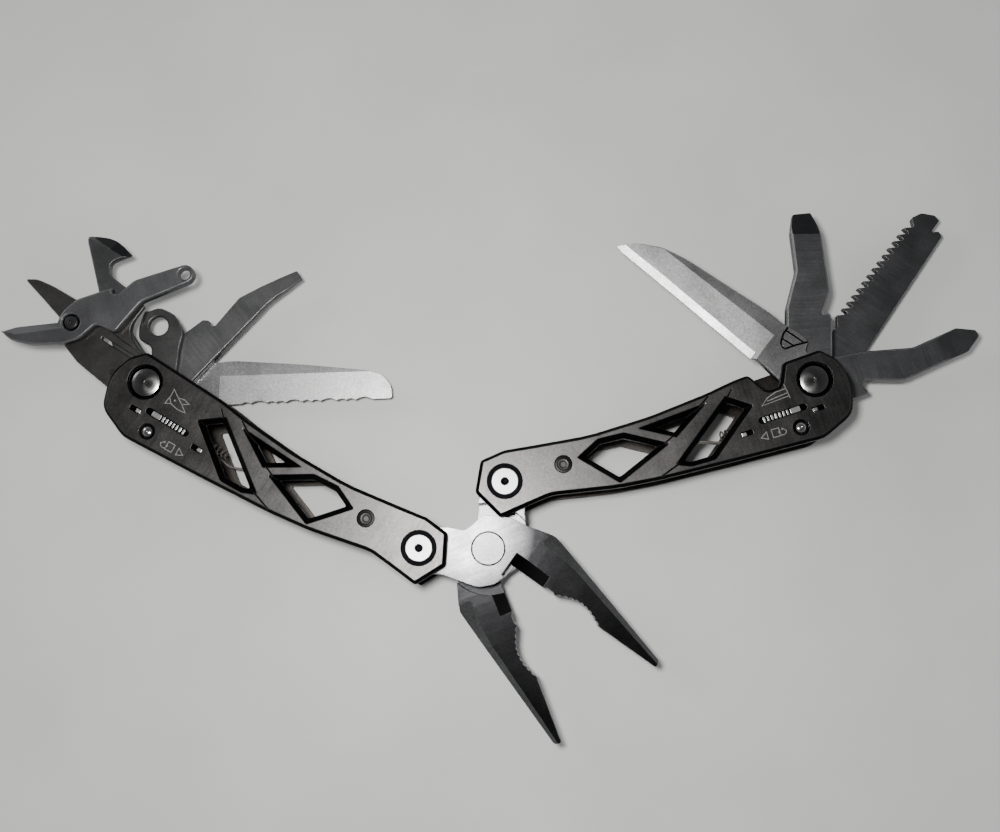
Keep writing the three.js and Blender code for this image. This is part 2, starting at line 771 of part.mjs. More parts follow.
// Serrations: groups of one wide scallop between two narrow ones, cut out of the straight edge.
const SCALLOPS = [
  { width: 2.3, depth: 0.42, pieces: 4 },
  { width: 4.1, depth: 0.65, pieces: 6 },
  { width: 2.3, depth: 0.42, pieces: 4 },
];
function scallops([x0, y0], [x1, y1]) {
  const run = Math.hypot(x1 - x0, y1 - y0);
  const out = [];
  let at = 0;
  for (let i = 0; at + SCALLOPS[i % 3].width <= run; i++) {
    const { width, depth: rise, pieces } = SCALLOPS[i % 3];
    for (let k = 0; k < pieces; k++) {
      const t = (at + (width * k) / pieces) / run;
      const bow = rise * Math.sin((Math.PI * k) / pieces);
      out.push([x0 + (x1 - x0) * t, y0 + (y1 - y0) * t + bow]);
    }
    at += width;
  }
  return out;
}

function serratedBlade() {
  const corners = [
    ...tangEnd(90, 270),
    [8, -4.2, 2],
    [13.6, -2.4, 0.5],
    [14.2, -3.2, 0.2],
    ...scallops([19.9, -2.67], [52.4, -0.75]),
    [52.4, -0.75],
    [56.9, -0.45, 0.2],
    [57.3, 0.1, 0.2],
    [57.0, 2.6, 3],
    [54.9, 5.2, 4],
    [51.0, 6.3, 6],
    [35.3, 7.4, 20],
    [17.7, 8.0, 12],
    [10.5, 7.0, 5],
  ];
  const grind = grinds([[14.4, 4.1, 14.4, -3.4], [60.0, 6.5, 60.0, -0.3]], LAYER.serrated, 0.5);
  const high = LAYER.serrated[1];
  const fingerHold = slab(circle(10.7, 4.2, 1.5), [], [high - 0.4, high + 1]);
  return tool("serrated_blade", corners, LAYER.serrated, "blade", {
    cuts: [...grind, fingerHold],
    chamfer: 0,
  });
}

// Pull teeth: a steep front towards the handle and a long back, in one row.
function sawTeeth([x0, y0], [x1, y1], count, depthOfTooth) {
  return Array.from({ length: count }, (_, i) => {
    const at = (t) => [x0 + (x1 - x0) * t, y0 + (y1 - y0) * t];
    const [tx, ty] = at((i + 0.08) / count);
    const [vx, vy] = at((i + 0.97) / count);
    const [rx, ry] = at((i + 0.75) / count);
    return [[vx, vy - depthOfTooth], [rx, ry - depthOfTooth * 0.92], [tx, ty]];
  }).reverse().flat();
}

function saw() {
  const corners = [
    ...tangEnd(90, 270),
    [9, -6.4, 4],
    [17.0, -7.3, 6],
    [51.9, -6.6, 0.6],
    [52.5, -5.2, 0.5],
    [51.2, -3.8, 0.3],
    [54.9, -3.9, 0.5],
    [55.4, -2.3, 0.8],
    [54.0, 0.8, 1.2],
    [51.6, 2.1, 0.4],
    ...sawTeeth([20.0, 3.4], [50.2, 2.3], 14, 1.75),
    [17.6, 1.6, 0.4],
    [11, 4.6, 3],
  ];
  return tool("saw_blade", corners, LAYER.saw, "saw", { chamfer: 0 });
}

function flatDriver() {
  const [low, high] = LAYER.flatDriver;
  const corners = [
    ...tangEnd(90, 270),
    [6.5, -5.7, 3],
    [15.5, -6.1, 0.8],
    [17.2, -5.7, 0.4],
    [16.9, -3.8, 0.5],
    [22.3, -5.9, 3],
    [37.0, -4.5, 3],
    [42.4, -2.2, 0.4],
    [42.0, 2.2, 0.6],
    [37.3, 2.9, 2],
    [27.6, 2.1, 4],
    [18.5, 4.7, 3],
    [12.0, 5.0, 3],
  ];
  const middle = (low + high) / 2;
  const tip = [1, -1].map((side) =>
    loft(
      [-7, 5].map((y) => [
        [36.8, y, middle + (side * (high - low)) / 2],
        [43.5, y, middle + side * 0.35],
        [43.5, y, middle + side * 4],
        [36.8, y, middle + side * 4],
      ]),
    ),
  );
  return tool("flat_driver", corners, LAYER.flatDriver, "tool", { cuts: tip, chamfer: 0.4 });
}

function phillipsDriver() {
  const [low, high] = LAYER.phillips;
  const middle = (low + high) / 2;
  const corners = [
    ...tangEnd(90, 250),
    [9.9, -6.6, 0.6],
    [14.2, -6.3, 0.6],
    [12.9, -4.3, 0.4],
    [14.0, -2.9, 0.6],
    [22.8, -5.8, 3],
    [40.1, -3.7, 1.5],
    [44.1, -0.8, 0.8],
    [43.7, 0.8, 0.8],
    [39.2, 2.6, 1.5],
    [27.6, 1.2, 4],
    [16.0, 3.9, 3],
    [9.2, 4.6, 3],
  ];
  const slope = [1, -1].map((side) =>
    loft(
      [-8, 6].map((y) => [
        [33.5, y, middle + (side * (high - low)) / 2],
        [44.6, y, middle + side * 0.7],
        [44.6, y, middle + side * 4],
        [33.5, y, middle + side * 4],
      ]),
    ),
  );
  // Flutes on both faces leave the four wings of the cross point.
  const flute = (side, wing) => {
    const section = (x, inner, outer, near, far) => [
      [x, wing * inner, middle + side * near],
      [x, wing * outer, middle + side * near],
      [x, wing * outer, middle + side * far],
    ];
    return loft([section(36.5, 2.1, 3.7, 2.2, 2.4), section(45.5, 0.6, 4.6, 0.4, 4)]);
  };
  const flutes = [flute(1, 1), flute(1, -1), flute(-1, 1), flute(-1, -1)];
  const cuts = [...slope, ...flutes];
  return tool("phillips_driver", corners, LAYER.phillips, "tool", { cuts, chamfer: 0.4 });
}

function bottleOpener() {
  const [low, high] = LAYER.bottleOpener;
  const middle = (low + high) / 2;
  const corners = [
    ...tangEnd(90, 270),
    [9.4, -3.4, 4],
    [16.9, -2.3, 6],
    [34.6, 0.2, 10],
    [44.6, 0.0, 0.3],
    [44.8, 2.5, 0.3],
    [35.5, 4.8, 3],
    [29.4, 6.0, 1],
    [20.6, 4.1, 0.5],
    [19.5, 4.6, 0.4],
    [20.2, 6.0, 0.6],
    [19.0, 7.2, 0.8],
    [12.0, 7.4, 2],
    [6.5, 5.6, 3],
  ];
  const tip = [1, -1].map((side) =>
    loft(
      [-2, 8].map((y) => [
        [37.5, y, middle + (side * (high - low)) / 2],
        [46.0, y, middle + side * 0.3],
        [46.0, y, middle + side * 4],
        [37.5, y, middle + side * 4],
      ]),
    ),
  );
  return tool("bottle_opener", corners, LAYER.bottleOpener, "tool", { cuts: tip });
}

function canOpener() {
  const [low, high] = LAYER.canOpener;
  const corners = [
    ...tangEnd(90, 290),
    [9.1, -0.8, 2],
    [15.2, 0.4, 2],
    [17.4, -1.2, 2],
    [19.9, -4.9, 1.2],
    [24.0, -3.6, 4],
    [30.2, 0.0, 2.4],
    [33.4, -1.0, 1.8],
    [33.2, -6.6, 0.3],
    [37.0, -5.1, 6],
    [40.5, -2.8, 6],
    [43.1, 1.9, 1.7],
    [27.8, 4.1, 20],
    [12.0, 6.0, 6],
  ];
  // The hook's edge is bevelled on its upper face.
  const bevel = loft([
    [[42.0, 1.9, high], [42.0, 1.9, high + 1], [45.0, 2.4, high + 1], [45.0, 2.4, low - 1]],
    [[36.6, -2.3, high], [36.6, -2.3, high + 1], [39.8, -6.4, high + 1], [39.8, -6.4, low - 1]],
    [[32.4, -5.3, high], [32.4, -5.3, high + 1], [32.6, -9.0, high + 1], [32.6, -9.0, low - 1]],
  ]);
  return tool("can_opener", corners, LAYER.canOpener, "tool", { cuts: [bevel] });
}

function lanyardLoop() {
  const corners = [
    ...tangEnd(110, 250),
    [3.0, -4.7, 3],
    [10.4, -5.2, 6],
    [14.4, -6.0, 3],
    [18.6, -3.4, 4],
    [20.4, 0.6, 3],
    [19.3, 3.0, 0.6],
    [19.4, 4.2, 0.8],
    [15.2, 5.3, 3],
    [12.0, 5.2, 2],
    [10.6, 2.0, 1.5],
    [7.0, 1.6, 2],
    [2.6, 4.6, 2],
  ];
  return tool("lanyard_loop", corners, LAYER.lanyard, "tool", { holes: [circle(15.6, 0.4, 2.35)] });
}

const SCISSORS_PIVOT = 24.9;

function scissorsBase() {
  const [low, high] = LAYER.scissorsBase;
  const corners = [
    ...tangEnd(110, 280),
    [6.8, -4.5, 3],
    [13.2, -4.2, 8],
    [17.5, -4.3, 4],
    [22.0, -5.0, 6],
    [27.6, -5.1, 10],
    [35.3, -4.1, 12],
    [39.6, -3.0, 4],
    [42.0, -1.2, 0.3],
    [35.0, -0.1],
    [29.0, 0.9, 0.5],
    [28.0, 3.6, 3],
    [23.1, 5.6, 2.5],
    [18.3, 6.7, 3],
    [7.0, 6.9, 5],
  ];
  const holes = [pivotHole(), circle(SCISSORS_PIVOT, 0, 1.3), slot([7.9, -2.6], [16.9, -1.7], 0.8)];
  // The finger that springs the lever open, a step below the face of the base.
  const finger = [
    [4.0, -3.6],
    [7.5, -4.7, 4],
    [9.8, -5.1, 4],
    [12.1, -6.2, 3],
    [13.4, -7.6, 1.5],
    [13.9, -9.4, 3],
    [14.1, -13.9, 0.3],
    [15.2, -13.9, 0.3],
    [15.8, -8.5, 3],
    [16.8, -3.9],
    [9.0, -3.7],
  ];
  const body = slab(corners, holes, [low, high], 0.2, 0.2);
  return piece("scissors_base", join(body, slab(finger, [], [low, high - 0.3], 0.2, 0)), "tool");
}

// Lever frame: origin at the scissors pivot, x along the base.
function scissorsLever() {
  const [low, high] = LAYER.scissorsLever;
  const corners = [
    [12.5, 12.1, 0.3],
    [10.4, 9.2],
    [2.8, 1.9, 0.3],
    [3.5, -1.2, 3],
    [2.7, -5.1, 4],
    [-2.4, -12.8, 0.3],
    [-3.2, -11.6, 0.2],
    [-4.5, -12.2, 0.5],
    [-5.5, -17.4, 3],
    ...arc(-14.3, -26.0, 2.4, -38, -205, 7),
    [-10.5, -14.4, 3],
    [-10.2, -4.6, 1.2],
    [-7.0, -3.9, 4],
    [-5.2, -3.4, 1.6],
    [-4.3, 1.8, 4],
    [-1.6, 5.6, 4],
    [4.4, 10.3, 8],
    [9.0, 12.4, 5],
  ];
  const holes = [circle(0, 0, 2.0), circle(-14.3, -26.0, 1.35, 14)];
  const body = slab(corners, holes, [low, high], 0.4, 0.2);
  const bevel = loft([
    [[12.3, 12.2, high], [12.3, 12.2, high + 1], [13.6, 12.3, high + 1], [13.6, 12.3, low]],
    [[8.6, 10.4, high], [8.6, 10.4, high + 1], [11.8, 7.6, high + 1], [11.8, 7.6, low - 1]],
    [[1.0, 2.6, high], [1.0, 2.6, high + 1], [4.0, 0.4, high + 1], [4.0, 0.4, low - 1]],
  ]);
  return cut(body, bevel);
}

function scissorsScrew() {
  const top = LAYER.scissorsLever[1];
  const bottom = LAYER.scissorsBase[0];
  const body = turned(SCISSORS_PIVOT, 0, [
    [0, bottom],
    [1.15, bottom],
    [1.15, bottom + 1.6],
    [1.7, bottom + 1.6],
    [1.7, top - 0.35],
    [1.4, top - 0.1],
    [0, top - 0.1],
  ]);
  return cut(body, slab(circle(SCISSORS_PIVOT, 0, 0.7, 6), [], [top - 0.8, top + 1]));
}

// --- Whole tool -----------------------------------------------------------------------------

const polar = (length, angle) => [length * Math.cos(rad(angle)), length * Math.sin(rad(angle))];

function placed(object, [x, y], angle) {
  const group = new THREE.Group();
  group.position.set(x, y, 0);
  group.rotation.z = rad(angle);
  group.add(object);
  return group;
}

const leftPivot = polar(TANG_ARM, LEFT_TANG);
const rightPivot = polar(TANG_ARM, RIGHT_TANG);
const leftTools = polar(HANDLE_SPAN, LEFT_HANDLE).map((v, i) => v + leftPivot[i]);
const rightTools = polar(HANDLE_SPAN, RIGHT_HANDLE).map((v, i) => v + rightPivot[i]);

const multiTool = new THREE.Group();
multiTool.add(
  pliers(),
  placed(handle("left"), leftPivot, LEFT_HANDLE),
  placed(handle("right"), rightPivot, RIGHT_HANDLE),
);

const lever = piece("scissors_lever", scissorsLever(), "tool");
lever.position.x = SCISSORS_PIVOT;
const stud = piece(
  "scissors_stud",
  turned(9.4, 3.3, [
    [0, 13.05],
    [0.8, 13.05],
    [0.8, 13.9],
    [0, 13.9],
  ], 16),
  "black",
);
const scissors = new THREE.Group();
scissors.add(
  scissorsBase(),
  lever,
  piece("scissors_screw", scissorsScrew(), "tool"),
  stud,
);

multiTool.add(
  placed(scissors, leftTools, TOOL_ANGLE.scissors),
  placed(canOpener(), leftTools, TOOL_ANGLE.canOpener),
  placed(lanyardLoop(), leftTools, TOOL_ANGLE.lanyard),
  placed(bottleOpener(), leftTools, TOOL_ANGLE.bottleOpener),
  placed(serratedBlade(), leftTools, TOOL_ANGLE.serrated),
  placed(knife(), rightTools, TOOL_ANGLE.knife),
  placed(flatDriver(), rightTools, TOOL_ANGLE.flatDriver),
  placed(phillipsDriver(), rightTools, TOOL_ANGLE.phillips),
  placed(saw(), rightTools, TOOL_ANGLE.saw),
);

multiTool.position.set(-RIVET_FROM_MIDDLE[0], -RIVET_FROM_MIDDLE[1], 0);

export default multiTool;
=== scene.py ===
"""Looks of a folding multi tool that lies open on a pale table.

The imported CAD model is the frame. Its nodes get procedural metals and softened edges, its turned
and wound pieces are replaced by finely made ones, and the signs on the plates are added as thin
ribbons. Lengths are in millimetres in the local frames and in metres in the scene.
"""
import json
import math

import bpy
from mathutils import Matrix, Vector


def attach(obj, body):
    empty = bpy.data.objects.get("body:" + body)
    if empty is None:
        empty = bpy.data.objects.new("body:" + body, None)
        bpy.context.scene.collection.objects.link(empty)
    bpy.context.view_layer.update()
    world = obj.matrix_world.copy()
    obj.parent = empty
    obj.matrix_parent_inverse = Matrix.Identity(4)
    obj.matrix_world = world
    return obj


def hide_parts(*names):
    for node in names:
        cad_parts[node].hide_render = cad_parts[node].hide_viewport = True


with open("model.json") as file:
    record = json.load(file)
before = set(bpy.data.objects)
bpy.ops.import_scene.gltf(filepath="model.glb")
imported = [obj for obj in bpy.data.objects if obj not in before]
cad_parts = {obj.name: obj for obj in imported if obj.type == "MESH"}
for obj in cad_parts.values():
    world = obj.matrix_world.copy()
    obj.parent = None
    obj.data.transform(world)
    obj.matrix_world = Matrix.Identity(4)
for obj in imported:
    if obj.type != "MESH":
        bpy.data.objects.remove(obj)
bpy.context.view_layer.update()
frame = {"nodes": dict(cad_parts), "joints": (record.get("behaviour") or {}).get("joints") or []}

MM = 0.001
SIDES = ("left", "right")
# As in the CAD model: the tool's height, its middle, the thickness of a plate, and the distance
# between the two pivots of a handle.
THICK = 18.0
MID = THICK / 2
PLATE = 2.4
SPAN = 76.4


# --- Places ---------------------------------------------------------------------------------


def joint_place(name):
    return next(Vector(j["pos_m"]) for j in frame["joints"] if j["name"] == name)


def frame_matrix(origin, x_axis, flip):
    """A local frame in millimetres: x along x_axis, turned over about x if flip is -1."""
    x = Vector(x_axis).normalized()
    y = Vector((-x.y, x.x, 0.0)) * flip
    z = Vector((0.0, 0.0, flip))
    base = Vector((origin[0], origin[1], 0.0 if flip > 0 else THICK * MM))
    rows = Matrix((x, y, z)).transposed().to_4x4()
    return Matrix.Translation(base) @ rows @ Matrix.Scale(MM, 4)


PLIERS_PIVOT = {side: joint_place(f"{side}_handle_hinge") for side in SIDES}
TOOL_PIVOT = {"left": joint_place("can_opener_hinge"), "right": joint_place("saw_hinge")}
FLIP = {"left": 1, "right": -1}
HANDLE = {
    side: frame_matrix(PLIERS_PIVOT[side], TOOL_PIVOT[side] - PLIERS_PIVOT[side], FLIP[side])
    for side in SIDES
}
HEADING = {side: Vector(HANDLE[side].col[0][:2]) for side in SIDES}
RIVET = joint_place("pliers_hinge")


def level_name(side, face):
    """Which plate of a handle lies on top: face is +1 or -1 in the handle's own frame."""
    return "top" if face * FLIP[side] > 0 else "bottom"


# --- Materials ------------------------------------------------------------------------------


class Shader:
    """A node material, with short calls for the nodes that it needs."""

    def __init__(self, name):
        self.material = bpy.data.materials.new(name)
        self.material.use_nodes = True
        self.tree = self.material.node_tree
        self.bsdf = self.tree.nodes["Principled BSDF"]
        self.coord = self.add("ShaderNodeTexCoord").outputs["Object"]
        self.place = self.add("ShaderNodeSeparateXYZ", {0: self.coord}).outputs
        self.normal = self.add("ShaderNodeNewGeometry").outputs["Normal"]

    def add(self, kind, inputs=None, **settings):
        node = self.tree.nodes.new(kind)
        for key, value in settings.items():
            setattr(node, key, value)
        for key, value in (inputs or {}).items():
            self.put(node.inputs[key], value)
        return node

    def put(self, socket, value):
        if isinstance(value, bpy.types.NodeSocket):
            self.tree.links.new(value, socket)
        else:
            socket.default_value = value

    def math(self, operation, a, b=0.0):
        node = self.add("ShaderNodeMath", operation=operation)
        for socket, value in zip(node.inputs, (a, b)):
            self.put(socket, value)
        return node.outputs[0]

    def noise(self, scale, detail=2.0, coord=None, roughness=0.5):
        settings = {"Vector": coord or self.coord, "Scale": scale, "Detail": detail}
        settings["Roughness"] = roughness
        return self.add("ShaderNodeTexNoise", settings).outputs["Fac"]

    def stretched(self, angle, along, across):
        """Object coordinates turned so that x runs along angle, then scaled."""
        turned = self.add("ShaderNodeMapping", {"Vector": self.coord, "Rotation": (0, 0, -angle)})
        scale = {"Vector": turned.outputs[0], "Scale": (along, across, across)}
        return self.add("ShaderNodeMapping", scale).outputs[0]

    def ramp(self, value, low, high, start=0.0, end=1.0):
        sockets = {"Value": value, "From Min": low, "From Max": high, "To Min": start, "To Max": end}
        return self.add("ShaderNodeMapRange", sockets, clamp=True).outputs[0]

    def band(self, value, low, high, soft):
        """1 between low and high, 0 outside, with soft ends."""
        rise = self.ramp(value, low - soft, low)
        fall = self.ramp(value, high, high + soft, 1.0, 0.0)
        return self.math("MULTIPLY", rise, fall)

    def mix(self, factor, a, b):
        node = self.add("ShaderNodeMix", data_type="RGBA")
        self.put(node.inputs["Factor"], factor)
        for socket, value in ((node.inputs[6], a), (node.inputs[7], b)):
            self.put(socket, (*value, 1.0) if isinstance(value, tuple) else value)
        return node.outputs[2]

    def scaled(self, color, factor):
        inputs = {0: color, "Scale": factor}
        return self.add("ShaderNodeVectorMath", inputs, operation="SCALE").outputs[0]

    def level(self):
        """How level the face is: 1 for a flat top, 0 for an upright wall."""
        up = self.add("ShaderNodeSeparateXYZ", {0: self.normal}).outputs["Z"]
        return self.math("ABSOLUTE", up)

    def depth(self):
        """Depth below the nearer outer face of a handle, in millimetres."""
        over = self.math("SUBTRACT", self.math("MULTIPLY", self.place["Z"], 1000.0), MID)
        return self.math("SUBTRACT", MID, self.math("ABSOLUTE", over))

    def distance(self, centre):
        """Distance from an upright axis, in millimetres."""
        flat = self.add("ShaderNodeCombineXYZ", {0: self.place["X"], 1: self.place["Y"]}).outputs[0]
        inputs = {0: flat, 1: (centre.x, centre.y, 0.0)}
        gap = self.add("ShaderNodeVectorMath", inputs, operation="DISTANCE").outputs["Value"]
        return self.math("MULTIPLY", gap, 1000.0)

    def soft_normal(self, radius):
        return self.add("ShaderNodeBevel", {"Radius": radius * MM}, samples=6).outputs[0]

    def edge(self, radius):
        """1 on edges sharper than the bevel radius, 0 on flat stretches."""
        inputs = {0: self.soft_normal(radius), 1: self.normal}
        dot = self.add("ShaderNodeVectorMath", inputs, operation="DOT_PRODUCT")
        return self.ramp(dot.outputs["Value"], 0.995, 0.85)


# Noise scales: mottling, grain, and brushed lines along and across their heading.
MOTTLE_SCALE = 160.0
GRAIN_SCALE = 1900.0
BRUSH_SCALES = (90.0, 3800.0)
# Bump distance of the grain and the lines, in metres.
RELIEF = 0.00002
# Bevel radius, in millimetres, that finds the edges to tint: rubbed edges with a painted edge
# highlight.
EDGE_TINT_RADIUS = 0.12


def metal(name, color, roughness, brush=None, rings=None, grain=0.3, mottle=0.12, edge_tint=None,
          bevel=0.3, speckle=0.0, metallic=1.0, lined=0.07, anisotropy=0.0, zones=()):
    """Steel with mottled colour, a fine grain, brushed lines or turned rings, and tinted edges.

    brush is the heading of brushed lines, rings the axis of turned ones, and lined is how much
    either changes the colour. anisotropy stretches the highlight round the upright axis. The edges
    that a bevel finds get a colour of their own: a lighter one is rubbed metal and a painted edge
    highlight. zones are functions that give (mask, colour, roughness factor) of an area painted in
    another colour, mostly painted light and shade, chosen by slope and by depth.
    """
    s = Shader(name)
    broad = s.noise(MOTTLE_SCALE, 3.0)
    fine = s.noise(GRAIN_SCALE, 3.0, roughness=0.65)
    shade = s.ramp(broad, 0.3, 0.7, 1.0 - mottle, 1.0 + mottle)
    shade = s.math("MULTIPLY", shade, s.ramp(fine, 0.3, 0.7, 1.0 - speckle, 1.0 + speckle))
    height = s.math("MULTIPLY", fine, grain)
    rough = s.ramp(broad, 0.3, 0.7, roughness - 0.03, roughness + 0.04)
    if brush is not None or rings is not None:
        if rings is None:
            lines = s.noise(1.0, 3.0, s.stretched(brush, *BRUSH_SCALES), 0.7)
        else:
            radius = s.add("ShaderNodeCombineXYZ", {0: s.distance(rings)}).outputs[0]
            lines = s.noise(7.0, 2.0, radius, 0.7)
        height = s.math("ADD", height, s.math("MULTIPLY", lines, 0.9))
        shade = s.math("MULTIPLY", shade, s.ramp(lines, 0.3, 0.7, 1.0 - lined, 1.0 + lined))
        rough = s.math("ADD", rough, s.ramp(lines, 0.35, 0.65, -0.03, 0.03))
    tint = s.scaled(color, shade)
    for zone in zones:
        mask, zone_color, factor = zone(s)
        tint = s.mix(mask, tint, s.scaled(zone_color, shade))
        rough = s.math("MULTIPLY", rough, s.ramp(mask, 0.0, 1.0, 1.0, factor))
    # Edges that a bevel finds are tinted in a colour of their own, in noisy patches: a lighter tint
    # stands for rubbed metal and a painted edge highlight.
    if edge_tint is not None:
        tinted_edge = s.math("MULTIPLY", s.edge(EDGE_TINT_RADIUS), s.ramp(s.noise(420.0, 3.0), 0.35, 0.6))
        tint = s.mix(tinted_edge, tint, edge_tint)
    bump = {"Height": height, "Strength": 0.25, "Distance": RELIEF}
    bump["Normal"] = s.soft_normal(bevel)
    s.put(s.bsdf.inputs["Normal"], s.add("ShaderNodeBump", bump).outputs[0])
    s.put(s.bsdf.inputs["Base Color"], tint)
    s.put(s.bsdf.inputs["Roughness"], rough)
    s.bsdf.inputs["Metallic"].default_value = metallic
    if anisotropy:
        s.bsdf.inputs["Anisotropic"].default_value = anisotropy
        around = s.add("ShaderNodeTangent", direction_type="RADIAL", axis="Z").outputs[0]
        s.put(s.bsdf.inputs["Tangent"], around)
    return s.material


def sloping(low, high, color, factor=1.0, soft=0.01):
    """The faces whose level lies between low and high, painted in a colour of their own: painted
    light and shade by slope.
    """
    return lambda s: (s.band(s.level(), low, high, soft), color, factor)


def between(low, high, soft, color, factor=1.0):
    """What lies between two depths below the outer face."""
    return lambda s: (s.band(s.depth(), low, high, soft), color, factor)


def below(start, end, color, factor=1.0):
    """What lies deeper below the outer face, fading in from start to end."""
    return lambda s: (s.ramp(s.depth(), start, end), color, factor)


def assign(thing, material):
    if isinstance(thing, str):
        thing = frame["nodes"][thing]
    thing.data.materials.clear()
    thing.data.materials.append(material)


# Lighter edge tint of the tools and jaws: rubbed metal and a painted edge highlight.
WORN_AND_LIT_EDGE = (0.5, 0.49, 0.48)
BLACK = (0.003, 0.003, 0.0034)
DARK = (0.02, 0.02, 0.021)
# Chamfers, walls and the floors of recesses, between the two faces of a plate, are painted black:
# painted shade and painted dark reflection.
PLATE_WALL_SHADE = between(0.12, PLATE - 0.12, 0.08, BLACK, 1.5)
# The inner face of a plate.
PLATE_INSIDE = below(PLATE - 0.1, PLATE - 0.02, (0.05, 0.045, 0.041))
# Middle of the painted highlight round each jaw's boss, in metres from the rivet, and the
# distances from it, in millimetres, where it starts and stops fading into the painted shade of the
# nose.
BOSS_HIGHLIGHT = {
    "jaw_right": (Vector((-0.005, 0.004, 0.0)), 6.0, 16.0),
    "jaw_left": (Vector((-0.003, 0.009, 0.0)), 10.0, 17.0),
}
# Colour of the noses, painted dark: painted shade.
NOSE_SHADE = (0.012, 0.012, 0.0125)
# The level over which a face counts as flat, and the depths of the nail nick's floor.
FLAT_LEVEL = 0.9985
NICK_DEPTHS = (3.25, 3.6)


def nail_nick_shade(s):
    """The level floor of a blade's nail nick, which lies between two depths, painted black: painted
    shade in the groove.
    """
    flat = s.ramp(s.level(), 0.998, FLAT_LEVEL)
    return s.math("MULTIPLY", flat, s.band(s.depth(), *NICK_DEPTHS, 0.05)), BLACK, 1.3


def nose(jaw):
    """The jaws are painted darker away from the boss: a painted highlight on the boss, painted shade
    on the noses.
    """
    offset, start, end = BOSS_HIGHLIGHT[jaw]

    def zone(s):
        return s.ramp(s.distance(RIVET + offset), start, end), NOSE_SHADE, 1.05

    return zone


# The steep sides of a tool, painted dark: painted shade.
WALL_SHADE = sloping(-1.0, 0.5, DARK, 0.9)
# Heading in degrees, colour and zones of each tool. The zones paint sloping faces darker: painted
# shade.
TOOL_LOOK = {
    "scissors_base": (142.1, (0.07, 0.068, 0.065), ()),
    "scissors_lever": (200.0, (0.12, 0.12, 0.123), ()),
    "can_opener": (113.0, (0.09, 0.09, 0.092), (sloping(0.75, 0.97, DARK),)),
    "lanyard_loop": (88.8, (0.07, 0.069, 0.068), ()),
    "bottle_opener": (38.8, (0.102, 0.102, 0.103), ()),
    "flat_driver": (90.4, (0.2, 0.2, 0.204), (sloping(0.9, 0.995, (0.045, 0.045, 0.047)),)),
    "phillips_driver": (17.3, (0.11, 0.11, 0.113), ()),
    "saw_blade": (54.2, (0.105, 0.105, 0.108), ()),
}
# Heading in degrees of each blade, and the brightness of its ground faces, painted lighter than the
# flats: a painted highlight.
BLADE_LOOK = {"knife_blade": (143.7, 0.31), "serrated_blade": (-1.4, 0.23)}
# Sloping facets, the steeper wire cutter and the walls of the jaws, each painted darker by its slope:
# painted shade.
JAW_FACET_SHADE = sloping(0.6, 0.95, (0.1, 0.1, 0.1), 1.3)
JAW_CUTTER_SHADE = sloping(0.2, 0.55, (0.022, 0.022, 0.023), 1.2)
JAW_WALL_SHADE = sloping(-1.0, 0.2, (0.05, 0.05, 0.052))
for side in SIDES:
    heading = math.atan2(HEADING[side].y, HEADING[side].x)
    # The plates' edges are tinted a lighter grey: rubbed metal and a painted edge highlight.
    look = metal(f"blackened_{side}", (0.063, 0.0605, 0.059), 0.33, heading + math.pi / 2,
                 speckle=0.22, edge_tint=(0.16, 0.155, 0.15), bevel=0.15,
                 zones=(PLATE_INSIDE, PLATE_WALL_SHADE))
    for level in ("top", "bottom"):
        assign(f"{side}_plate_{level}", look)
for node, (angle, color, zones) in TOOL_LOOK.items():
    assign(node, metal(f"steel_{node}", color, 0.39, math.radians(angle) + math.pi / 2,
                       mottle=0.05, lined=0.03, speckle=0.12, edge_tint=WORN_AND_LIT_EDGE, bevel=0.3,
                       zones=(*zones, WALL_SHADE)))
for node, (angle, shine) in BLADE_LOOK.items():
    # Ground faces painted lighter, a painted highlight; steep sides painted dark, painted shade. The
    # edges are tinted black.
    ground = sloping(0.5, FLAT_LEVEL, (shine, shine, shine * 0.99), 1.0, 0.0004)
    look = metal(f"steel_{node}", (0.2, 0.2, 0.2), 0.37, math.radians(angle) + math.pi / 2,
                 mottle=0.06, lined=0.03, speckle=0.25, edge_tint=BLACK, bevel=0.1,
                 zones=(ground, WALL_SHADE, nail_nick_shade))
    assign(node, look)
for node in ("jaw_left", "jaw_right"):
    assign(node, metal(f"steel_{node}", (0.17, 0.17, 0.172), 0.33, 0.4, speckle=0.25, edge_tint=WORN_AND_LIT_EDGE,
                       bevel=0.2, zones=(nose(node), JAW_FACET_SHADE, JAW_CUTTER_SHADE, JAW_WALL_SHADE)))
black = metal("black_screw", (0.055, 0.055, 0.057), 0.38, grain=0.2)
wire = metal("spring_steel", (0.13, 0.12, 0.107), 0.36, grain=0.2)
# The slides: a band of depth, what lies deeper and the steep walls are painted black, painted shade
# between the ribs.
slide = metal("bright_slide", (0.5, 0.5, 0.49), 0.32, grain=0.2, speckle=0.1, bevel=0.25,
              zones=(between(0.4, 0.62, 0.03, BLACK), below(0.9, 1.0, BLACK),
                     sloping(-1.0, 0.3, BLACK)))


# --- Finely made pieces ---------------------------------------------------------------------


# Degrees over which an edge of a finely made piece is sharp.
SHARP_EDGE = 30.0


def made(name, matrix, vertices, faces, material, body):
    """A mesh from millimetre points in a local frame, which rides on a body."""
    mesh = bpy.data.meshes.new(name)
    mesh.from_pydata([matrix @ Vector(v) for v in vertices], [], faces)
    if matrix.determinant() < 0:
        mesh.flip_normals()
    mesh.shade_smooth()
    mesh.set_sharp_from_angle(angle=math.radians(SHARP_EDGE))
    thing = bpy.data.objects.new(name, mesh)
    bpy.context.scene.collection.objects.link(thing)
    thing.data.materials.append(material)
    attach(thing, body)
    return thing


